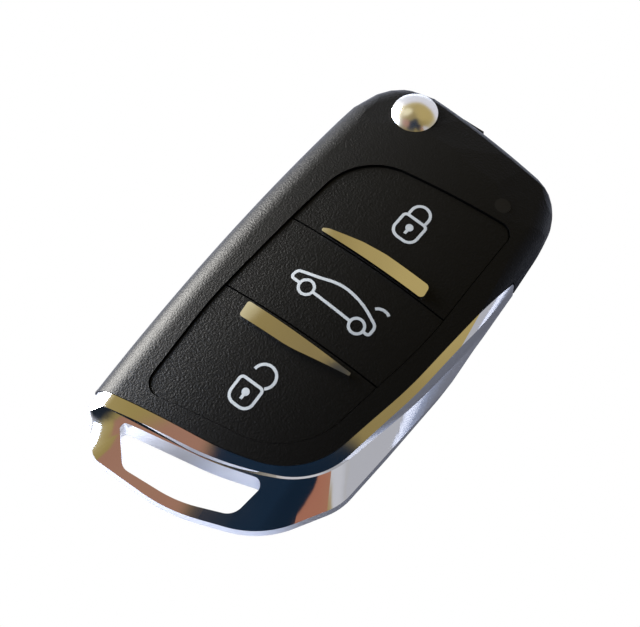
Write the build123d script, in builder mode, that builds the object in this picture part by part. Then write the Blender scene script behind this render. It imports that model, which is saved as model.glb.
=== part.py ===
from build123d import *
from math import asin, cos, pi, radians, sin, tan
import os

os.makedirs("parts", exist_ok=True)

# A folding car key in millimetres. It lies on its back with its buttons up: +Z is up, +Y points to the
# nose where the blade swings out, -Y to the key-ring loop, and the blade folds into the -X side.
# The origin is on the resting plane under the middle of the key.

# Crown: the top face is curved along and across, and rolls over at its left side and around the nose
crown_height = 16.3
crown_x = -4.9
crown_y = 17.1
crown_long_radius = 160.0
crown_cross_radius = 75.0
shoulder_start = 9.1
shoulder_radius = 5.0
side_lean = 2.1
# The rolls around the nose, each square to a heading in degrees from +X, follow the cover's wall
roll_headings = [6, 20, 34, 48, 62, 75, 86, 104, 119, 134, 149, 164]
edge_roll_radius = 4.2
edge_roll_lift = 0.08
edge_roll_margin = 0.1
swing_half_turn = 40.0

# Covers: they meet at a plane that climbs towards the nose, below which the back tapers in
parting_z = 6.6
parting_slope = 3.9
cover_wall = 1.4
floor_thickness = 1.2
rear_taper = 22.0
cover_points = [
    (-20.1, -30.2), (2.5, -27.6), (14.2, -23.3), (17.9, -4.0), (19.0, 12.0), (19.5, 19.6), (19.75, 19.6),
    (19.05, 27.0), (17.1, 36.0), (0.0, 37.5), (-15.9, 37.2), (-18.25, 20.6),
]
cover_radii = [0.6, 40, 13, 60, 30, 0, 0, 30, 8, 60, 6.5, 60]
step_corners = (4, 5)
step_radius = 30
nose_tab_left_x = -3.8
nose_tab_right_x = 0.8
nose_tab_end_y = 38.0
nose_tab_depth = 1.6
nose_tab_low_z = 10.0
nose_tab_top_z = 12.0

# Chrome frame: a band beside the cover's edge that flares down to the key-ring loop
band_points = [
    (-19.5, -32.3), (3.5, -29.2), (16.0, -23.0), (19.25, -4.0), (20.2, 10.0), (19.75, 19.6), (12.0, 19.6),
    (12.0, -20.0), (-17.0, -20.0), (-19.2, -29.0),
]
band_radii = [0.8, 40, 12, 60, 60, 0.3, 1, 1, 1, 1]
loop_points = [
    (-18.7, -32.9), (-13.1, -38.4), (0.5, -38.4), (13.8, -33.5), (19.8, -22.6), (20.7, 8.0), (19.8, 19.6),
    (12.0, 19.6), (12.0, -20.0), (-17.0, -20.0), (-19.0, -29.0),
]
loop_radii = [0.8, 2.5, 26, 14, 9, 60, 0.3, 1, 1, 1, 1]
slot_points = [(-13.3, -32.1), (-8.6, -37.2), (1.0, -36.6), (8.8, -33.4), (9.8, -26.8), (2.0, -29.3)]
slot_radii = [0.8, 2.0, 20, 2.8, 1.2, 40]
loop_underside_z = 3.6
underside_points = [(-12.0, loop_underside_z), (0.0, 4.4), (9.0, 6.6), (30.0, 8.6), (30.0, 0.0), (-12.0, 0.0)]
underside_radii = [0, 8, 8, 0, 0, 0]
flare_low_z = 5.2
flare_high_z = 7.6
band_drop = 0.15
frame_clearance = 0.05
flange_width = 2.0
flange_overlap = 0.3
flange_thickness = 0.8
flange_start_x = -5.0
flange_end_y = 14.0

# Button panel
panel_points = [(-13.0, -27.05), (11.7, -22.9), (15.8, 2.5), (15.2, 25.6), (-10.1, 21.2), (-12.95, -11.0)]
panel_radii = [2.2, 13, 60, 1.8, 9.5, 60]
panel_gap = 0.2
split_slope = 1.7
split_y = [-7.4, 6.75]
split_gap = 0.25
button_drop = 0.35
button_underside_drop = 1.95
lip_width = 0.7
lip_clearance = 0.05
button_travel = 0.3
post_radius = 1.3

# Bars and symbols on the buttons
bar_rise = 0.8
upper_bar_points = [(-7.4, 6.75), (11.7, 7.3), (11.4, 9.6), (3.6, 9.4), (-0.4, 8.9), (-5.6, 7.7)]
upper_bar_radii = [0.3, 0.7, 0.7, 10, 8, 0.5]
lower_bar_points = [(-8.05, -8.3), (10.45, -8.1), (10.45, -8.6), (1.0, -10.6), (-7.85, -10.85)]
lower_bar_radii = [0.4, 0.15, 0.2, 20, 0.5]
symbol_depth = 0.2
symbol_rise = 0.03
stroke = 0.45
padlock_width = 4.4
padlock_height = 4.4
padlock_top_radius = 0.8
padlock_bottom_radius = 1.7
shackle_radius = 1.5
shackle_leg = 0.4
keyhole_radius = 0.6
keyhole_length = 1.2
closed_padlock = (3.3, 15.15)
open_padlock = (-0.15, -19.4)
open_shackle_middle = (0.65, -15.8)
open_shackle_radius = 1.8
open_shackle_turn = (-52.0, 175.0)
wheel_radius = 1.4
wheel_places = [(-2.75, -1.5), (6.65, -1.8)]
car_points = [(-5.9, -1.65), (-5.6, 0.15), (-2.2, 1.05), (1.2, 2.2), (5.3, 1.75), (9.1, 0.0), (9.1, -2.15)]
car_radii = [0.7, 1.0, 6, 8, 12, 1.2, 0.7]
boot_mark = [(7.2, 1.95), (8.4, 2.6), (9.4, 2.35)]

# Blade, hub and release button
pivot = (-8.2, 32.35)
hub_radius = 4.35
hub_low_z = 1.5
hub_top_z = 12.6
hub_bore_radius = 3.9
hub_web_top_z = 6.6
hub_clearance = 0.15
axle_radius = 1.5
axle_top_z = 5.0
axle_clearance = 0.05
axial_gap = 0.1
release_radius = 3.5
release_shoulder_z = 15.6
release_dome = 1.1
release_flange_radius = 3.8
release_flange_thickness = 1.0
release_bore_radius = 2.6
release_bore_top_z = 14.2
release_clearance = 0.12
spring_wire_radius = 0.3
spring_radius = 2.0
spring_turns = 6
blade_width = 8.0
blade_thickness = 2.2
blade_left_x = -16.6
blade_x = blade_left_x + blade_width / 2
blade_gap = 0.05
groove_stagger = 2.4
blade_tip_y = -25.0
blade_mid_z = 4.6
blade_tip_chamfer = 2.0
groove_width = 2.4
groove_depth = 0.6
groove_start_y = 12.0
channel_low_z = 3.2
channel_top_z = 6.0
channel_wall = 0.8
blade_side_gap = 0.6
channel_right_x = blade_left_x + blade_width + blade_side_gap
sweep_points = [
    (-24.0, -27.5), (channel_right_x, -27.5), (channel_right_x, 17.5), (-2.2, 32.55), (0.7, 38.95), (0.7, 45.0),
    (-24.0, 45.0),
]
arm_thickness = 2.4
arm_low_y = 18.0
arm_top_y = 25.0
tongue_width = 4.0
tongue_thickness = 1.2
tongue_end_y = 27.6
tongue_clearance = 0.05
pin_radius = 0.8
pin_y = 21.5

# Board and what it carries
board_low_z = 7.0
board_thickness = 1.0
board_inset = 1.5
board_tail_y = -18.0
board_tongue = (9.9, 13.2, 20.0, 29.3)
switch_size = 4.5
switch_height = 1.5
plunger_radius = 1.0
plunger_height = 0.4
plunger_depth = 0.6
plunger_clearance = 0.08
switch_places = [(0.3, -15.2), (3.0, -0.8), (3.3, 15.5)]
seal_inset = 1.2
seal_gap = 0.4
seal_thickness = 0.6
chip_size = (7.0, 7.0, 1.2)
chip_place = (8.5, -14.0)
resonator_size = (5.0, 2.0, 1.4)
resonator_place = (1.0, -14.5)
capacitor_size = (1.6, 0.8, 0.8)
capacitor_places = [(2.5, -17.2), (-1.5, -17.0), (-2.5, -10.5), (13.0, -9.0)]
led_place = (11.5, 27.7)
led_radius = 1.5
led_height = 3.4
lens_radius = 1.2
lens_step_radius = 1.7
lens_step_height = 0.6

# Cell, its contacts and the transponder
cell_radius = 10.0
cell_gap = 0.8
cell_clearance = 0.2
cell_place = (channel_right_x + channel_wall + cell_gap + cell_radius, 2.5)
cell_thickness = 3.2
contact_thickness = 0.3
contact_width = 3.0
contact_gap = 0.4
transponder_size = (12.0, 6.0, 3.0)
transponder_place = (5.5, 18.5)

# Screws: both go in from the back, the one at the nose in a deeper seat
screw_places = [(-5.4, -22.0), (4.5, 31.0)]
screw_seats = [1.4, 5.4]
screw_radius = 0.85
screw_clearance = 0.15
screw_head_radius = 1.6
screw_head_height = 1.2
screw_length = 5.4
screw_slot_width = 0.5
screw_slot_depth = 0.5
boss_radius = 2.0
seat_wall = 0.9
tail_web_place = (-5.4, -25.0)
tail_web_size = (2.0, 6.0, board_low_z)

big = 60.0


def outline(points, radii, growth=0.0):
    """A closed flat outline with rounded corners, grown by growth."""
    with BuildSketch(mode=Mode.PRIVATE) as face:
        with BuildLine():
            FilletPolyline(*points, radius=radii, close=True)
        make_face()
        if growth:
            offset(amount=growth)
    return face.sketch


def disc(place, radius):
    """A flat disc."""
    with BuildSketch(mode=Mode.PRIVATE) as face:
        with Locations(place):
            Circle(radius)
    return face.sketch


def prism(face, low_z, high_z):
    """An upright block on a flat outline."""
    with BuildPart(mode=Mode.PRIVATE) as block:
        with BuildSketch(Plane.XY.offset(low_z)):
            add(face)
        extrude(amount=high_z - low_z)
    return block.part


def rod(place, radius, low_z, high_z):
    """An upright round bar."""
    return prism(disc(place, radius), low_z, high_z)


def block(place, size, low_z):
    """A box that stands on low_z, centred on a place."""
    with BuildPart(mode=Mode.PRIVATE) as shape:
        with Locations((place[0], place[1], low_z)):
            Box(*size, align=(Align.CENTER, Align.CENTER, Align.MIN))
    return shape.part


def roll(arc_radius, centre_height, angle, radius, side):
    """Three points of the arc that turns a crown of arc_radius down to vertical on one side."""
    start = (side * arc_radius * sin(angle), centre_height + arc_radius * cos(angle))
    centre = (start[0] - side * radius * sin(angle), start[1] - radius * cos(angle))
    half_way = (angle + pi / 2) / 2
    middle = (centre[0] + side * radius * sin(half_way), centre[1] + radius * cos(half_way))
    end = (centre[0] + side * radius, centre[1])
    return start, middle, end


def turned_body(arcs, sides, swing_radius, across):
    """A closed profile of arcs and lines swung about a level axis far under the crown."""
    centre = Vector(crown_x, crown_y, crown_height - swing_radius)
    upward = Vector(0, 0, 1).rotate(Axis(Vector(0, 0, 0), across), -swing_half_turn)
    with BuildPart(mode=Mode.PRIVATE) as body:
        with BuildSketch(Plane(origin=centre, x_dir=across, z_dir=across.cross(upward))):
            with BuildLine():
                for arc in arcs:
                    ThreePointArc(*arc)
                Polyline(*sides)
            make_face()
        revolve(axis=Axis(centre, across), revolution_arc=2 * swing_half_turn)
    return body.part


def crown(drop):
    """Everything under the top face and its left shoulder, lowered by drop."""
    centre_height = crown_long_radius - crown_cross_radius
    arc_radius = crown_cross_radius - drop
    left = roll(arc_radius, centre_height, shoulder_start / crown_cross_radius, shoulder_radius - drop, -1)
    right_angle = big / 2 / crown_cross_radius
    right = (arc_radius * sin(right_angle), centre_height + arc_radius * cos(right_angle))
    depth = crown_long_radius - big / 2
    arcs = [left, (left[0], (0, centre_height + arc_radius), right)]
    sides = [left[2], (left[2][0], depth), (right[0], depth), right]
    across = Vector(cos(radians(side_lean)), -sin(radians(side_lean)), 0)
    return turned_body(arcs, sides, crown_long_radius, across)


def edge_roll(heading, reach, drop):
    """Everything inside one roll that turns the crown down to a wall, lowered by drop."""
    across = Vector(cos(radians(heading)), sin(radians(heading)), 0)
    along_radius = 1 / (across.X**2 / crown_cross_radius + across.Y**2 / crown_long_radius)
    swing_radius = 1 / (across.Y**2 / crown_cross_radius + across.X**2 / crown_long_radius)
    angle = asin((reach - edge_roll_radius) / (along_radius - edge_roll_radius))
    centre_height = swing_radius - along_radius
    arc = roll(along_radius + edge_roll_lift - drop, centre_height, angle, edge_roll_radius - drop, 1)
    inner = (arc[0][0] - 2 * big, arc[0][1] + 2 * big * tan(angle))
    depth = swing_radius - big / 2
    sides = [arc[0], inner, (inner[0], depth), (arc[2][0], depth), arc[2]]
    return turned_body([arc], sides, swing_radius, across)


cover_face = outline(cover_points, cover_radii)


def rolled_top(drop):
    """Everything under the crown and the rolls around the nose, lowered by drop."""
    with BuildPart(mode=Mode.PRIVATE) as body:
        add(crown(drop))
        for heading in roll_headings:
            turned_face = Pos(-crown_x, -crown_y) * cover_face
            wall = turned_face.rotate(Axis.Z, -heading).bounding_box().max.X
            add(edge_roll(heading, wall + edge_roll_margin, drop), mode=Mode.INTERSECT)
    return body.part


cover_inner_face = outline(cover_points, cover_radii, -cover_wall)
cover_cut_face = outline(cover_points, cover_radii, frame_clearance)
panel_face = outline(panel_points, panel_radii)
panel_opening_face = outline(panel_points, panel_radii, panel_gap)
panel_lip_face = outline(panel_points, panel_radii, panel_gap + lip_width)
slot_face = outline(slot_points, slot_radii)

top_body = rolled_top(0)
lining_body = rolled_top(cover_wall)

# The room the blade and its arm sweep through, and the walls around it
with BuildSketch() as blade_room:
    Polygon(*sweep_points, align=None)
    with Locations(pivot):
        Circle(hub_radius + hub_clearance)

with BuildSketch() as blade_room_wall:
    add(blade_room.sketch)
    offset(amount=channel_wall)

parting_plane = Plane(
    origin=(0, 0, parting_z),
    x_dir=(1, 0, 0),
    z_dir=(0, -sin(radians(parting_slope)), cos(radians(parting_slope))),
)

# The front cover takes what is above the parting plane and, on the blade's side, above the channel
with BuildPart() as front_zone:
    with BuildSketch(parting_plane):
        Rectangle(2 * big, 2 * big)
    extrude(amount=big)
    add(prism(blade_room_wall.sketch, channel_top_z, big))

# The band's inward flange, which the two covers clamp between them
with BuildPart() as flange:
    with BuildSketch(parting_plane.offset(-flange_thickness / 2)):
        add(outline(cover_points, cover_radii, flange_overlap))
        add(outline(cover_points, cover_radii, -flange_width), mode=Mode.SUBTRACT)
        with Locations((flange_start_x, flange_end_y)):
            Rectangle(big, 2 * big, align=(Align.MIN, Align.MAX), mode=Mode.INTERSECT)
    extrude(amount=flange_thickness)

# The buttons' lips move in this room, which the cover's inner walls leave free
lip_room_face = outline(panel_points, panel_radii, panel_gap + lip_width + lip_clearance)
lip_room_floor = crown(button_underside_drop + button_travel + lip_clearance)

with BuildPart() as front_cover:
    with BuildSketch():
        add(cover_face)
    extrude(amount=big)
    add(top_body, mode=Mode.INTERSECT)
    with BuildPart(mode=Mode.SUBTRACT) as hub_pocket:
        add(rod(pivot, hub_radius + hub_clearance, 0, hub_top_z + hub_clearance))
        add(rod(pivot, release_radius + release_clearance, 0, big))
    add(block(((nose_tab_left_x + nose_tab_right_x) / 2, nose_tab_end_y - nose_tab_depth / 2),
              (nose_tab_right_x - nose_tab_left_x, nose_tab_depth, nose_tab_top_z - nose_tab_low_z),
              nose_tab_low_z))
    with BuildPart(mode=Mode.SUBTRACT) as cavity:
        with BuildSketch():
            add(cover_inner_face)
        extrude(amount=big)
        add(lining_body, mode=Mode.INTERSECT)
        add(prism(blade_room_wall.sketch, 0, board_low_z), mode=Mode.SUBTRACT)
        add(rod(pivot, hub_radius + hub_clearance + channel_wall, 0, big), mode=Mode.SUBTRACT)
        add(rod(screw_places[0], boss_radius, 0, board_low_z), mode=Mode.SUBTRACT)
        add(block(tail_web_place, tail_web_size, 0), mode=Mode.SUBTRACT)
        add(rod(screw_places[1], boss_radius, 0, big), mode=Mode.SUBTRACT)
    add(front_zone.part, mode=Mode.INTERSECT)
    with BuildPart(mode=Mode.SUBTRACT) as lip_room:
        add(prism(lip_room_face, 0, big))
        add(lining_body, mode=Mode.INTERSECT)
        add(lip_room_floor, mode=Mode.SUBTRACT)
    add(prism(panel_opening_face, board_low_z + board_thickness, big), mode=Mode.SUBTRACT)
    add(prism(blade_room.sketch, channel_low_z, channel_top_z), mode=Mode.SUBTRACT)
    add(rod(led_place, lens_radius, board_low_z, big), mode=Mode.SUBTRACT)
    for place, seat in zip(screw_places, screw_seats):
        add(rod(place, screw_radius, seat, seat + screw_length), mode=Mode.SUBTRACT)
    add(flange.part, mode=Mode.SUBTRACT)
front_cover.part.label = "front_cover"
export_step(front_cover.part, "parts/front_cover.step")

# The back's outline has no step for the band, and is stretched because it is drawn on the sloped plane
rear_points = [point for index, point in enumerate(cover_points) if index not in step_corners]
rear_radii = [radius or step_radius for index, radius in enumerate(cover_radii) if index not in step_corners]
stretch = 1 / cos(radians(parting_slope))
stretched_points = [(x, y * stretch) for x, y in rear_points]

with BuildPart() as rear_cover:
    with BuildSketch(parting_plane):
        add(outline(stretched_points, rear_radii))
    extrude(amount=-2 * parting_z, taper=rear_taper)
    add(rod(pivot, hub_radius + hub_clearance + channel_wall, 0, parting_z))
    with BuildPart(mode=Mode.SUBTRACT) as rear_cavity:
        with BuildSketch(parting_plane):
            add(outline(stretched_points, rear_radii, -cover_wall))
        extrude(amount=-2 * parting_z, taper=rear_taper)
        with BuildSketch(Plane.XY.offset(floor_thickness)):
            Rectangle(2 * big, 2 * big)
        extrude(amount=big, mode=Mode.INTERSECT)
        add(prism(blade_room_wall.sketch, 0, big), mode=Mode.SUBTRACT)
        for place in screw_places:
            add(rod(place, screw_head_radius + screw_clearance + seat_wall, 0, big), mode=Mode.SUBTRACT)
    with BuildSketch():
        Rectangle(2 * big, 2 * big)
    extrude(amount=big, mode=Mode.INTERSECT)
    add(front_zone.part, mode=Mode.SUBTRACT)
    add(prism(blade_room.sketch, channel_low_z, channel_top_z), mode=Mode.SUBTRACT)
    add(rod(pivot, hub_radius + hub_clearance, hub_low_z - axial_gap, big), mode=Mode.SUBTRACT)
    add(rod(cell_place, cell_radius + cell_clearance, floor_thickness, big), mode=Mode.SUBTRACT)
    add(rod(pivot, axle_radius, floor_thickness, axle_top_z))
    for place, seat in zip(screw_places, screw_seats):
        add(rod(place, screw_head_radius + screw_clearance, 0, seat), mode=Mode.SUBTRACT)
        add(rod(place, screw_radius + screw_clearance, 0, big), mode=Mode.SUBTRACT)
    add(flange.part, mode=Mode.SUBTRACT)
rear_cover.part.label = "rear_cover"
export_step(rear_cover.part, "parts/rear_cover.step")

rim_high_z = parting_z + cover_points[step_corners[1]][1] * tan(radians(parting_slope))

with BuildPart() as chrome_frame:
    with BuildSketch(Plane.XY.offset(flare_high_z)):
        add(outline(band_points, band_radii))
    extrude(amount=big)
    with BuildPart() as flare:
        with BuildSketch(Plane.XY.offset(flare_low_z)):
            add(outline(loop_points, loop_radii))
        with BuildSketch(Plane.XY.offset(flare_high_z)):
            add(outline(band_points, band_radii))
        loft()
    add(rolled_top(band_drop), mode=Mode.INTERSECT)
    add(prism(outline(loop_points, loop_radii), loop_underside_z, flare_low_z))
    with BuildSketch(Plane.YZ.offset(-big)):
        add(outline(underside_points, underside_radii))
    extrude(amount=2 * big, mode=Mode.SUBTRACT)
    add(prism(cover_cut_face, 0, big), mode=Mode.SUBTRACT)
    add(prism(outline(rear_points, rear_radii, frame_clearance), 0, rim_high_z), mode=Mode.SUBTRACT)
    add(prism(slot_face, 0, big), mode=Mode.SUBTRACT)
    add(flange.part)
chrome_frame.part.label = "chrome_frame"
export_step(chrome_frame.part, "parts/chrome_frame.step")

# Buttons: each is cut from one lowered layer of the crown, with a lip that stops it under the cover
button_layer = crown(button_drop) - crown(button_underside_drop)
lip_layer = crown(cover_wall + lip_clearance) - crown(button_underside_drop)
post_layer = crown(button_drop + symbol_depth)
symbol_bed = crown(button_drop + symbol_depth)
symbol_top = crown(button_drop - symbol_rise)
bar_layer = crown(button_drop - bar_rise) - crown(button_drop)
board_top_z = board_low_z + board_thickness
plunger_top_z = board_top_z + switch_height + plunger_height

with BuildSketch() as board_face:
    add(outline(panel_points, panel_radii, -board_inset))
    with Locations((0, board_tail_y)):
        Rectangle(big, big, align=(Align.CENTER, Align.MAX), mode=Mode.SUBTRACT)

with BuildSketch() as seal_face:
    add(outline(panel_points, panel_radii, -board_inset - seal_inset))
    with Locations((0, board_tail_y + seal_inset)):
        Rectangle(big, big, align=(Align.CENTER, Align.MAX), mode=Mode.SUBTRACT)

with BuildSketch() as switch_room:
    with Locations(*switch_places):
        Rectangle(switch_size + 2 * seal_gap, switch_size + 2 * seal_gap)

# What the pressed buttons stay clear of
with BuildPart() as board_room:
    add(prism(board_face.sketch, 0, board_top_z + button_travel + axial_gap))
    add(prism(seal_face.sketch, 0, board_top_z + seal_thickness + button_travel + axial_gap))
    add(prism(switch_room.sketch, 0, board_top_z + switch_height + button_travel + axial_gap))


def strip(low_split, high_split):
    """The part of the panel between two division lines."""
    slope = sin(radians(split_slope))
    corners = []
    for split, side, gap in ((low_split, -1, 1), (low_split, 1, 1), (high_split, 1, -1), (high_split, -1, -1)):
        corners.append((side * big, split + side * big * slope + gap * split_gap / 2))
    with BuildSketch(mode=Mode.PRIVATE) as face:
        Polygon(*corners, align=None)
    return face.sketch


def button(region, place):
    """One button with its lip and its post."""
    with BuildPart(mode=Mode.PRIVATE) as shape:
        with BuildSketch():
            add(panel_face)
            add(region, mode=Mode.INTERSECT)
        extrude(amount=big)
        add(button_layer, mode=Mode.INTERSECT)
        with BuildPart() as lip:
            with BuildSketch():
                add(panel_lip_face)
                add(region, mode=Mode.INTERSECT)
            extrude(amount=big)
            add(lip_layer, mode=Mode.INTERSECT)
        add(board_room.part, mode=Mode.SUBTRACT)
        with BuildPart() as post:
            with BuildSketch(Plane.XY.offset(plunger_top_z)):
                with Locations(place):
                    Circle(post_radius)
            extrude(amount=big)
            add(post_layer, mode=Mode.INTERSECT)
    return shape.part


def padlock(place):
    """The outline of a padlock's body with its keyhole."""
    half_width = padlock_width / 2
    half_height = padlock_height / 2
    corners = [(-half_width, -half_height), (half_width, -half_height), (half_width, half_height),
               (-half_width, half_height)]
    points = [(place[0] + x, place[1] + y) for x, y in corners]
    radii = [padlock_bottom_radius, padlock_bottom_radius, padlock_top_radius, padlock_top_radius]
    with BuildSketch(mode=Mode.PRIVATE) as face:
        add(outline(points, radii))
        add(outline(points, radii, -stroke), mode=Mode.SUBTRACT)
        with Locations((place[0], place[1] + keyhole_radius / 2)):
            Circle(keyhole_radius)
        with Locations((place[0], place[1] - keyhole_length / 2 + keyhole_radius / 2)):
            Rectangle(stroke, keyhole_length)
    return face.sketch


with BuildSketch() as closed_lock:
    with Locations((closed_padlock[0], closed_padlock[1] + padlock_height / 2 + shackle_leg)):
        SlotCenterToCenter(2 * shackle_leg, 2 * shackle_radius + stroke, rotation=90)
        SlotCenterToCenter(2 * shackle_leg, 2 * shackle_radius - stroke, rotation=90, mode=Mode.SUBTRACT)
    with Locations((closed_padlock[0], closed_padlock[1] + padlock_height / 2)):
        Rectangle(big, big, align=(Align.CENTER, Align.MAX), mode=Mode.SUBTRACT)
    add(padlock(closed_padlock))

with BuildSketch() as open_lock:
    shackle_start, shackle_end = open_shackle_turn
    with BuildSketch():
        with BuildLine():
            CenterArc(open_shackle_middle, open_shackle_radius, shackle_start, shackle_end - shackle_start)
        trace(line_width=stroke)
    add(padlock(open_padlock))

with BuildSketch() as car:
    add(outline(car_points, car_radii))
    add(outline(car_points, car_radii, -stroke), mode=Mode.SUBTRACT)
    with Locations(*wheel_places):
        Circle(wheel_radius)
        Circle(wheel_radius - stroke, mode=Mode.SUBTRACT)
    with BuildSketch():
        with BuildLine():
            ThreePointArc(*boot_mark)
        trace(line_width=stroke)

tail_edge = -big
regions = [strip(tail_edge, split_y[0]), strip(split_y[0], split_y[1]), strip(split_y[1], big)]
symbol_faces = [open_lock.sketch, car.sketch, closed_lock.sketch]

for name, region, symbol, place in zip(("unlock", "trunk", "lock"), regions, symbol_faces, switch_places):
    with BuildPart() as key_top:
        add(button(region, place))
        add(prism(symbol, board_low_z, big) - symbol_bed, mode=Mode.SUBTRACT)
    key_top.part.label = name + "_button"
    export_step(key_top.part, "parts/" + name + "_button.step")
    with BuildPart() as inlay:
        add(prism(symbol, board_low_z, big))
        add(symbol_top, mode=Mode.INTERSECT)
        add(symbol_bed, mode=Mode.SUBTRACT)
    inlay.part.label = name + "_symbol"
    export_step(inlay.part, "parts/" + name + "_symbol.step")

for name, points, radii in (
    ("upper_trim_bar", upper_bar_points, upper_bar_radii),
    ("lower_trim_bar", lower_bar_points, lower_bar_radii),
):
    with BuildPart() as bar:
        add(prism(outline(points, radii), board_low_z, big))
        add(bar_layer, mode=Mode.INTERSECT)
    bar.part.label = name
    export_step(bar.part, "parts/" + name + ".step")

with BuildPart() as blade_hub:
    with BuildSketch(Plane.XY.offset(blade_mid_z - arm_thickness / 2)):
        with Locations(pivot):
            Circle(hub_radius)
        with Locations((blade_left_x, arm_low_y)):
            Rectangle(pivot[0] - blade_left_x, arm_top_y - arm_low_y, align=(Align.MIN, Align.MIN))
        make_hull()
    extrude(amount=arm_thickness)
    add(rod(pivot, hub_radius, hub_low_z, hub_top_z))
    add(rod(pivot, hub_bore_radius, hub_web_top_z, hub_top_z), mode=Mode.SUBTRACT)
    add(rod(pivot, axle_radius + axle_clearance, hub_low_z, axle_top_z + axial_gap), mode=Mode.SUBTRACT)
    add(block((blade_x, (arm_low_y + tongue_end_y) / 2),
              (tongue_width + 2 * tongue_clearance, tongue_end_y - arm_low_y + 2 * tongue_clearance,
               tongue_thickness + 2 * tongue_clearance),
              blade_mid_z - tongue_thickness / 2 - tongue_clearance), mode=Mode.SUBTRACT)
    add(rod((blade_x, pin_y), pin_radius, 0, hub_web_top_z), mode=Mode.SUBTRACT)
blade_hub.part.label = "blade_hub"
export_step(blade_hub.part, "parts/blade_hub.step")

with BuildPart() as key_blade:
    with BuildSketch(Plane.XY.offset(blade_mid_z - blade_thickness / 2)):
        with Locations((blade_x, blade_tip_y)):
            Rectangle(blade_width, arm_low_y - blade_gap - blade_tip_y, align=(Align.CENTER, Align.MIN))
    extrude(amount=blade_thickness)
    tip = key_blade.edges().filter_by(Axis.Z).group_by(Axis.Y)[0]
    chamfer(tip, blade_tip_chamfer)
    groove_low_zs = [blade_mid_z - blade_thickness / 2, blade_mid_z + blade_thickness / 2 - groove_depth]
    for side, low_z in enumerate(groove_low_zs):
        groove_x = blade_x + (side - 0.5) * groove_stagger
        add(block((groove_x, (groove_start_y + blade_tip_y - big) / 2),
                  (groove_width, groove_start_y - blade_tip_y + big, groove_depth), low_z), mode=Mode.SUBTRACT)
    add(block((blade_x, (arm_low_y - 1 + tongue_end_y) / 2),
              (tongue_width, tongue_end_y - arm_low_y + 1, tongue_thickness), blade_mid_z - tongue_thickness / 2))
    add(rod((blade_x, pin_y), pin_radius, 0, hub_web_top_z), mode=Mode.SUBTRACT)
key_blade.part.label = "key_blade"
export_step(key_blade.part, "parts/key_blade.step")

with BuildPart() as blade_pin:
    add(rod((blade_x, pin_y), pin_radius, blade_mid_z - arm_thickness / 2, blade_mid_z + arm_thickness / 2))
blade_pin.part.label = "blade_pin"
export_step(blade_pin.part, "parts/blade_pin.step")

# The release button is a cap with a domed top and a flange that stops it under the cover
flange_top_z = hub_top_z + hub_clearance - axial_gap
dome_radius = (release_radius**2 + release_dome**2) / (2 * release_dome)

with BuildPart() as release_button:
    add(rod(pivot, release_radius, flange_top_z, big))
    add(rod(pivot, release_flange_radius, flange_top_z - release_flange_thickness, flange_top_z))
    with BuildPart(mode=Mode.INTERSECT):
        with Locations((*pivot, release_shoulder_z + release_dome - dome_radius)):
            Sphere(dome_radius)
        add(rod(pivot, big, 0, release_shoulder_z))
    add(rod(pivot, release_bore_radius, 0, release_bore_top_z), mode=Mode.SUBTRACT)
release_button.part.label = "release_button"
export_step(release_button.part, "parts/release_button.step")

# The spring fills the room between the hub's web and the release button's ceiling
spring_low_z = hub_web_top_z + spring_wire_radius
spring_height = release_bore_top_z - hub_web_top_z - 2 * spring_wire_radius

with BuildPart() as flip_spring:
    with BuildLine():
        Helix(spring_height / spring_turns, spring_height, spring_radius, center=(*pivot, spring_low_z))
    with BuildSketch(Plane(origin=(pivot[0] + spring_radius, pivot[1], spring_low_z), z_dir=(0, 1, 0))):
        Circle(spring_wire_radius)
    sweep(is_frenet=True)
flip_spring.part.label = "flip_spring"
export_step(flip_spring.part, "parts/flip_spring.step")

with BuildPart() as circuit_board:
    with BuildSketch(Plane.XY.offset(board_low_z)):
        add(board_face.sketch)
        left_x, right_x, low_y, high_y = board_tongue
        with Locations((left_x, low_y)):
            Rectangle(right_x - left_x, high_y - low_y, align=(Align.MIN, Align.MIN))
    extrude(amount=board_thickness)
circuit_board.part.label = "circuit_board"
export_step(circuit_board.part, "parts/circuit_board.step")

with BuildPart() as tact_switches:
    with BuildSketch(Plane.XY.offset(board_top_z)):
        with Locations(*switch_places):
            RectangleRounded(switch_size, switch_size, 0.4)
    extrude(amount=switch_height)
    for place in switch_places:
        add(rod(place, plunger_radius + plunger_clearance,
                board_top_z + switch_height - plunger_depth - button_travel - axial_gap, big), mode=Mode.SUBTRACT)
tact_switches.part.label = "tact_switches"
export_step(tact_switches.part, "parts/tact_switches.step")

for name, place in zip(("unlock", "trunk", "lock"), switch_places):
    with BuildPart() as plunger:
        add(rod(place, plunger_radius, board_top_z + switch_height - plunger_depth, plunger_top_z))
    plunger.part.label = name + "_plunger"
    export_step(plunger.part, "parts/" + name + "_plunger.step")

with BuildPart() as keypad_seal:
    with BuildSketch(Plane.XY.offset(board_top_z)):
        add(seal_face.sketch)
        add(switch_room.sketch, mode=Mode.SUBTRACT)
    extrude(amount=seal_thickness)
keypad_seal.part.label = "keypad_seal"
export_step(keypad_seal.part, "parts/keypad_seal.step")

# Components under the board
with BuildPart() as controller_chip:
    add(block(chip_place, chip_size, board_low_z - chip_size[2]))
controller_chip.part.label = "controller_chip"
export_step(controller_chip.part, "parts/controller_chip.step")

with BuildPart() as resonator:
    add(block(resonator_place, resonator_size, board_low_z - resonator_size[2]))
resonator.part.label = "resonator"
export_step(resonator.part, "parts/resonator.step")

with BuildPart() as chip_capacitors:
    for place in capacitor_places:
        add(block(place, capacitor_size, board_low_z - capacitor_size[2]))
chip_capacitors.part.label = "chip_capacitors"
export_step(chip_capacitors.part, "parts/chip_capacitors.step")

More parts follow.
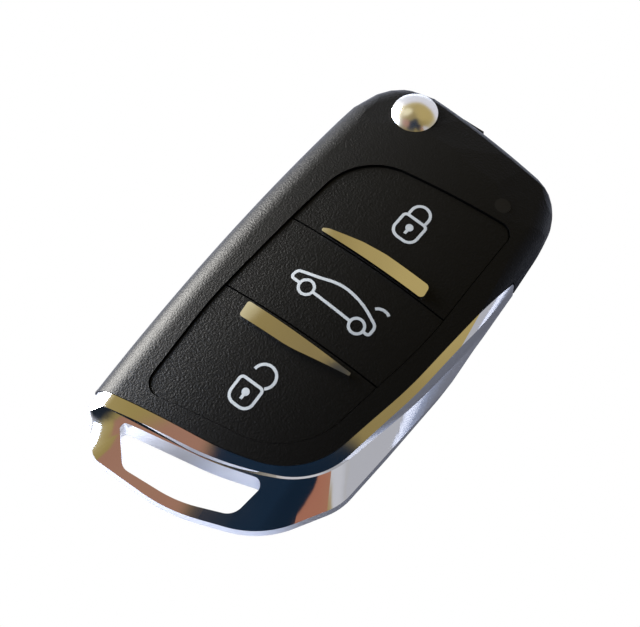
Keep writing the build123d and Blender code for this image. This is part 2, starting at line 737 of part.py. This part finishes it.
# The indicator and its window, which is pushed up through the cover
with BuildPart() as indicator_led:
    add(rod(led_place, led_radius, board_top_z, board_top_z + led_height - led_radius))
    with Locations((*led_place, board_top_z + led_height - led_radius)):
        Sphere(led_radius)
indicator_led.part.label = "indicator_led"
export_step(indicator_led.part, "parts/indicator_led.step")

with BuildPart() as indicator_lens:
    add(rod(led_place, lens_radius, board_top_z + led_height, big))
    add(crown(0), mode=Mode.INTERSECT)
    add(rod(led_place, lens_step_radius, board_top_z + led_height, board_top_z + led_height + lens_step_height))
indicator_lens.part.label = "indicator_lens"
export_step(indicator_lens.part, "parts/indicator_lens.step")

# The cell lies on the lower contact and under the upper one, and each has a leg up to the board
cell_low_z = floor_thickness + contact_thickness
cell_top_z = cell_low_z + cell_thickness
leg_reach = cell_radius + contact_gap + contact_thickness / 2

with BuildPart() as coin_cell:
    add(rod(cell_place, cell_radius, cell_low_z, cell_top_z))
    chamfer(coin_cell.edges().group_by(Axis.Z)[-1], 0.4)
    chamfer(coin_cell.edges().group_by(Axis.Z)[0], 0.4)
coin_cell.part.label = "coin_cell"
export_step(coin_cell.part, "parts/coin_cell.step")


def contact(low_z, leg_low_z, side):
    """A strip across the cell with a leg that rises to the board beyond the cell's edge."""
    leg_y = cell_place[1] + side * leg_reach
    with BuildPart(mode=Mode.PRIVATE) as shape:
        add(block((cell_place[0], cell_place[1] + side * (leg_reach + contact_thickness / 2) / 2),
                  (contact_width, leg_reach + contact_thickness / 2, contact_thickness), low_z))
        add(block((cell_place[0], leg_y), (contact_width, contact_thickness, board_low_z - leg_low_z), leg_low_z))
    return shape.part


with BuildPart() as battery_contact_negative:
    add(contact(floor_thickness, floor_thickness, -1))
battery_contact_negative.part.label = "battery_contact_negative"
export_step(battery_contact_negative.part, "parts/battery_contact_negative.step")

with BuildPart() as battery_clip_positive:
    add(contact(cell_top_z, cell_top_z, 1))
battery_clip_positive.part.label = "battery_clip_positive"
export_step(battery_clip_positive.part, "parts/battery_clip_positive.step")

with BuildPart() as transponder_chip:
    add(block(transponder_place, transponder_size, floor_thickness))
    fillet(transponder_chip.edges().filter_by(Axis.Z), 0.8)
transponder_chip.part.label = "transponder_chip"
export_step(transponder_chip.part, "parts/transponder_chip.step")

with BuildPart() as case_screws:
    for place, seat in zip(screw_places, screw_seats):
        add(rod(place, screw_radius, seat, seat + screw_length))
        add(rod(place, screw_head_radius, seat - screw_head_height, seat))
        with Locations((*place, seat - screw_head_height)):
            Box(2 * screw_head_radius, screw_slot_width, 2 * screw_slot_depth, mode=Mode.SUBTRACT)
            Box(screw_slot_width, 2 * screw_head_radius, 2 * screw_slot_depth, mode=Mode.SUBTRACT)
case_screws.part.label = "case_screws"
export_step(case_screws.part, "parts/case_screws.step")
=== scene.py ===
import bpy
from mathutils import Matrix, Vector


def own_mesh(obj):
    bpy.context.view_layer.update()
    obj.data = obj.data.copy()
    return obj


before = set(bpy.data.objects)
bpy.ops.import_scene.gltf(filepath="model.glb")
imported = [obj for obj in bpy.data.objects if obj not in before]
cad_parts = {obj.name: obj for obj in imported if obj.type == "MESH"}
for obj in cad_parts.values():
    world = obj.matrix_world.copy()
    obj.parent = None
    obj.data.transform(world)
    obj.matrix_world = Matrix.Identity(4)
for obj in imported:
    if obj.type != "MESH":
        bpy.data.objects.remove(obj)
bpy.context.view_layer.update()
bpy.context.scene.view_settings.view_transform = "Standard"


# Camera: it looks down on the key from its loop end and its bright side, about 370 mm away.
# The focal length gives the photograph's framing.
aim = Vector((-0.0007, -0.0009, 0.0085))
towards_camera = Vector((0.305, -0.396, 0.866)).normalized()
camera_distance = 0.372
camera_data = bpy.data.cameras.new("camera")
camera_data.sensor_width = 36
camera_data.lens = 142.0
camera_data.clip_start = 0.01
camera = bpy.data.objects.new("camera", camera_data)
bpy.context.collection.objects.link(camera)
camera.location = aim + towards_camera * camera_distance
camera.rotation_euler = towards_camera.to_track_quat("Z", "Y").to_euler()
bpy.context.scene.camera = camera


# Floor: a plain pale table that keeps the key's soft shadow.
# The camera sees the floor and the world as white.
def linear(colour):
    """An sRGB hex colour as linear red, green and blue, with full alpha."""
    parts = [int(colour[i:i + 2], 16) / 255 for i in (1, 3, 5)]
    return [p / 12.92 if p <= 0.04045 else ((p + 0.055) / 1.055) ** 2.4 for p in parts] + [1.0]


def add_node(tree, kind, settings=None, values=None, links=None):
    """Adds a node, sets its settings and its sockets' values, and links its sockets from other nodes."""
    node = tree.nodes.new(kind)
    for name, value in (settings or {}).items():
        setattr(node, name, value)
    for name, value in (values or {}).items():
        node.inputs[name].default_value = value
    for name, (source, output) in (links or {}).items():
        tree.links.new(source.outputs[output], node.inputs[name])
    return node


def new_material(name):
    """An empty node material with its tree and its output node."""
    material = bpy.data.materials.new(name)
    material.use_nodes = True
    tree = material.node_tree
    tree.nodes.clear()
    return material, tree, add_node(tree, "ShaderNodeOutputMaterial")


bpy.ops.object.select_all(action="DESELECT")
bpy.ops.mesh.primitive_plane_add(size=1.6, location=(0, 0, -0.0002))
floor = bpy.context.object
floor.name = "floor"
white_table, tree, output = new_material("white_laminate")
table_shader = add_node(tree, "ShaderNodeBsdfDiffuse", values={"Color": linear("#b4b8c6")})
table_white = add_node(tree, "ShaderNodeEmission", values={"Color": linear("#ffffff"), "Strength": 1.0})
rays = add_node(tree, "ShaderNodeLightPath")
seen = add_node(tree, "ShaderNodeMixShader",
                links={0: (rays, "Is Camera Ray"), 1: (table_shader, 0), 2: (table_white, 0)})
tree.links.new(seen.outputs[0], output.inputs["Surface"])
floor.data.materials.append(white_table)


# Light: a large soft lamp low on the left like a window, a bluish one nearer the loop, and a pale world.
# Bright metal mirrors a room instead: pale walls below, a gold ceiling above, and soft patches by direction.
def soft_lamp(name, place, size, power, colour):
    """A square soft lamp that points at the key."""
    data = bpy.data.lights.new(name, "AREA")
    data.size = size
    data.energy = power
    data.color = linear(colour)[:3]
    lamp = bpy.data.objects.new(name, data)
    bpy.context.collection.objects.link(lamp)
    lamp.location = place
    lamp.rotation_euler = Vector(place).to_track_quat("Z", "Y").to_euler()
    return lamp


soft_lamp("window", (-0.88, -0.03, 0.25), 0.55, 56.0, "#fffcf6")
soft_lamp("sky", (-0.70, -0.40, 0.45), 0.35, 12.0, "#c8dcff")

world = bpy.data.worlds.new("room")
bpy.context.scene.world = world
world.use_nodes = True
tree = world.node_tree
tree.nodes.clear()
output = add_node(tree, "ShaderNodeOutputWorld")
even = add_node(tree, "ShaderNodeBackground", values={"Color": linear("#f4f6ff"), "Strength": 0.5})
direction = add_node(tree, "ShaderNodeTexCoord")
waviness = 0.12
clutter = add_node(tree, "ShaderNodeTexNoise", values={"Scale": 2.4, "Detail": 2.0},
                   links={"Vector": (direction, "Generated")})
shift = add_node(tree, "ShaderNodeVectorMath", {"operation": "MULTIPLY_ADD"},
                 {1: [waviness] * 3, 2: [-waviness / 2] * 3}, {0: (clutter, "Color")})
seen_way = add_node(tree, "ShaderNodeVectorMath", {"operation": "ADD"},
                    links={0: (direction, "Generated"), 1: (shift, 0)})
height = add_node(tree, "ShaderNodeSeparateXYZ", links={0: (seen_way, 0)})
ramp = add_node(tree, "ShaderNodeValToRGB", links={0: (height, "Z")})
ramp.color_ramp.elements[0].color = linear("#dfe3ee")
ramp.color_ramp.elements[1].color = linear("#8a7a52")
for place, colour in ((0.45, "#dcdce8"), (0.60, "#b8a872"), (0.85, "#9c8a54")):
    ramp.color_ramp.elements.new(place).color = linear(colour)
room_colour = (ramp, "Color")
bright_gold = ((0.10, 0.50, 0.86), 0.880, 0.985, "#b5a26a")
pale_gold = ((-0.46, 0.13, 0.88), 0.960, 0.994, "#e6dcb6")
navy_coat = ((0.10, -0.24, 0.97), 0.950, 0.975, "#16283c")
navy_sleeve = ((0.36, -0.24, 0.90), 0.980, 0.989, "#122234")
fingers = ((0.57, -0.13, 0.81), 0.996, 0.999, "#a8705c")
grey_cloth = ((0.70, 0.05, 0.71), 0.976, 0.987, "#c8cad4")
far_wall = ((0.93, 0.29, 0.10), 0.700, 0.880, "#b6b8c2")
copper_wood = ((-0.30, -0.33, 0.89), 0.970, 0.984, "#a27866")
dark_corner = ((-0.25, -0.86, 0.40), 0.800, 0.930, "#1a222c")
for middle, edge, core, colour in (bright_gold, pale_gold, navy_coat, navy_sleeve, fingers, grey_cloth,
                                   far_wall, copper_wood, dark_corner):
    closeness = add_node(tree, "ShaderNodeVectorMath", {"operation": "DOT_PRODUCT"},
                         {1: Vector(middle).normalized()}, {0: (seen_way, 0)})
    patch = add_node(tree, "ShaderNodeMapRange", {"interpolation_type": "SMOOTHSTEP"},
                     {"From Min": edge, "From Max": core}, {"Value": (closeness, "Value")})
    painted = add_node(tree, "ShaderNodeMix", {"data_type": "RGBA"},
                       links={"Factor": (patch, "Result"), "A": room_colour})
    painted.inputs["B"].default_value = linear(colour)
    room_colour = (painted, "Result")
mirrored = add_node(tree, "ShaderNodeBackground", links={"Color": room_colour})
rays = add_node(tree, "ShaderNodeLightPath")
glossy = add_node(tree, "ShaderNodeMixShader",
                  links={0: (rays, "Is Glossy Ray"), 1: (even, 0), 2: (mirrored, 0)})
white = add_node(tree, "ShaderNodeBackground", values={"Color": linear("#ffffff"), "Strength": 1.0})
seen = add_node(tree, "ShaderNodeMixShader",
                links={0: (rays, "Is Camera Ray"), 1: (glossy, 0), 2: (white, 0)})
tree.links.new(seen.outputs[0], output.inputs["Surface"])


# Case halves and buttons: black ABS moulded in a spark-eroded tool, which leaves a fine matt grain.
# The grain catches light as pale specks, a little coarser on the buttons than on the case.
def dress(material, *names):
    """Gives CAD nodes their material."""
    for name in names:
        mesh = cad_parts[name].data
        mesh.materials.clear()
        mesh.materials.append(material)


def grained_abs(name, grain_mm, height_mm):
    """Matt moulded ABS: near black that drifts a little in patches, under a fine grain."""
    patch_mm = 22
    roughness = 0.4
    material, tree, output = new_material(name)
    place = add_node(tree, "ShaderNodeTexCoord")
    drift = add_node(tree, "ShaderNodeTexNoise", values={"Scale": 1000 / patch_mm, "Detail": 3.0},
                     links={"Vector": (place, "Object")})
    tone = add_node(tree, "ShaderNodeMix", {"data_type": "RGBA"},
                    {"A": linear("#030303"), "B": linear("#060606")}, {"Factor": (drift, "Fac")})
    grain = add_node(tree, "ShaderNodeTexNoise", values={"Scale": 1000 / grain_mm, "Detail": 2.0},
                     links={"Vector": (place, "Object")})
    bump = add_node(tree, "ShaderNodeBump", values={"Strength": 1.0, "Distance": height_mm / 1000},
                    links={"Height": (grain, "Fac")})
    shine = add_node(tree, "ShaderNodeMapRange",
                     values={"To Min": roughness - 0.06, "To Max": roughness + 0.08},
                     links={"Value": (grain, "Fac")})
    shader = add_node(tree, "ShaderNodeBsdfPrincipled", values={"IOR": 1.5, "Specular IOR Level": 0.12},
                      links={"Base Color": (tone, "Result"), "Roughness": (shine, "Result"),
                             "Normal": (bump, "Normal")})
    tree.links.new(shader.outputs[0], output.inputs["Surface"])
    return material


dress(grained_abs("black_abs", grain_mm=0.28, height_mm=0.075), "front_cover", "rear_cover")
dress(grained_abs("black_abs_buttons", grain_mm=0.32, height_mm=0.09),
      "lock_button", "trunk_button", "unlock_button")


# Chrome: plated ABS, polished to a mirror on the frame and the trim bars and softer on the release button.
# A trace of haze from handling changes the polish from place to place. The bars' edges are rounded.
def chrome_plate(name, smoothest, roughest):
    """Mirror plating whose polish drifts a little between two roughnesses."""
    material, tree, output = new_material(name)
    haze_mm = 9
    place = add_node(tree, "ShaderNodeTexCoord")
    haze = add_node(tree, "ShaderNodeTexNoise", values={"Scale": 1000 / haze_mm, "Detail": 6.0},
                    links={"Vector": (place, "Object")})
    polish = add_node(tree, "ShaderNodeMapRange", values={"To Min": smoothest, "To Max": roughest},
                      links={"Value": (haze, "Fac")})
    tint = add_node(tree, "ShaderNodeMix", {"data_type": "RGBA"},
                    {"A": linear("#e9e7e4"), "B": linear("#f2f1ee")}, {"Factor": (haze, "Fac")})
    shader = add_node(tree, "ShaderNodeBsdfPrincipled", values={"Metallic": 1.0},
                      links={"Base Color": (tint, "Result"), "Roughness": (polish, "Result")})
    tree.links.new(shader.outputs[0], output.inputs["Surface"])
    return material


dress(chrome_plate("bright_chrome_plate", 0.03, 0.12), "chrome_frame", "upper_trim_bar", "lower_trim_bar")
dress(chrome_plate("soft_chrome_plate", 0.14, 0.22), "release_button")
for name, width_mm in (("upper_trim_bar", 0.35), ("lower_trim_bar", 0.45)):
    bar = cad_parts[name]
    bevel = bar.modifiers.new("bevel", "BEVEL")
    bevel.width = width_mm / 1000
    bevel.segments = 3
    bevel.limit_method = "ANGLE"


# Symbols, window and the pieces inside: each a plain moulded, stamped or cast surface of its own material.
# The symbols are white ink in recesses, slightly uneven where it was wiped.
def plain_surface(name, colour, other, scale_mm, roughness, metallic=0.0, specular=0.5):
    """A moulded, stamped or cast surface whose colour and polish drift at one scale."""
    material, tree, output = new_material(name)
    place = add_node(tree, "ShaderNodeTexCoord")
    drift = add_node(tree, "ShaderNodeTexNoise", values={"Scale": 1000 / scale_mm, "Detail": 4.0},
                     links={"Vector": (place, "Object")})
    tone = add_node(tree, "ShaderNodeMix", {"data_type": "RGBA"},
                    {"A": linear(colour), "B": linear(other)}, {"Factor": (drift, "Fac")})
    shine = add_node(tree, "ShaderNodeMapRange",
                     values={"To Min": roughness - 0.05, "To Max": roughness + 0.05},
                     links={"Value": (drift, "Fac")})
    bump = add_node(tree, "ShaderNodeBump", values={"Strength": 0.2, "Distance": 0.00002},
                    links={"Height": (drift, "Fac")})
    shader = add_node(tree, "ShaderNodeBsdfPrincipled",
                      values={"Metallic": metallic, "Specular IOR Level": specular},
                      links={"Base Color": (tone, "Result"), "Roughness": (shine, "Result"),
                             "Normal": (bump, "Normal")})
    tree.links.new(shader.outputs[0], output.inputs["Surface"])
    return material


dress(plain_surface("white_ink", "#7f8283", "#949797", 0.8, 0.6),
      "lock_symbol", "trunk_symbol", "unlock_symbol")
dress(plain_surface("smoked_acrylic", "#070708", "#0b0b0c", 2.0, 0.4, specular=0.2), "indicator_lens")
dress(plain_surface("red_epoxy", "#b83a2c", "#c8493a", 1.5, 0.15), "indicator_led")
dress(plain_surface("black_silicone", "#1c1d1f", "#242527", 1.0, 0.7), "keypad_seal")
dress(plain_surface("green_solder_mask", "#0e4a2a", "#15603a", 3.0, 0.35), "circuit_board")
dress(plain_surface("stamped_nickel", "#b9b6ae", "#c9c6be", 2.0, 0.3, 1.0),
      "tact_switches", "resonator", "battery_clip_positive", "battery_contact_negative")
dress(plain_surface("black_nylon", "#101010", "#1a1a1a", 1.0, 0.5),
      "lock_plunger", "trunk_plunger", "unlock_plunger", "transponder_chip", "controller_chip")
dress(plain_surface("brown_ceramic", "#8a6a48", "#9c7a56", 0.6, 0.5), "chip_capacitors")
dress(plain_surface("stainless_cell", "#c2c2c0", "#d2d2d0", 3.0, 0.25, 1.0), "coin_cell")
dress(plain_surface("zinc_casting", "#77787a", "#8a8b8d", 1.2, 0.4, 1.0), "blade_hub")
dress(plain_surface("nickel_brass", "#c4c0b2", "#d0ccbe", 2.5, 0.22, 1.0), "key_blade")
dress(plain_surface("spring_steel", "#7c7d80", "#8e8f92", 0.8, 0.3, 1.0), "flip_spring", "blade_pin")
dress(plain_surface("black_zinc_screw", "#3a3b3e", "#4a4b4e", 0.8, 0.4, 1.0), "case_screws")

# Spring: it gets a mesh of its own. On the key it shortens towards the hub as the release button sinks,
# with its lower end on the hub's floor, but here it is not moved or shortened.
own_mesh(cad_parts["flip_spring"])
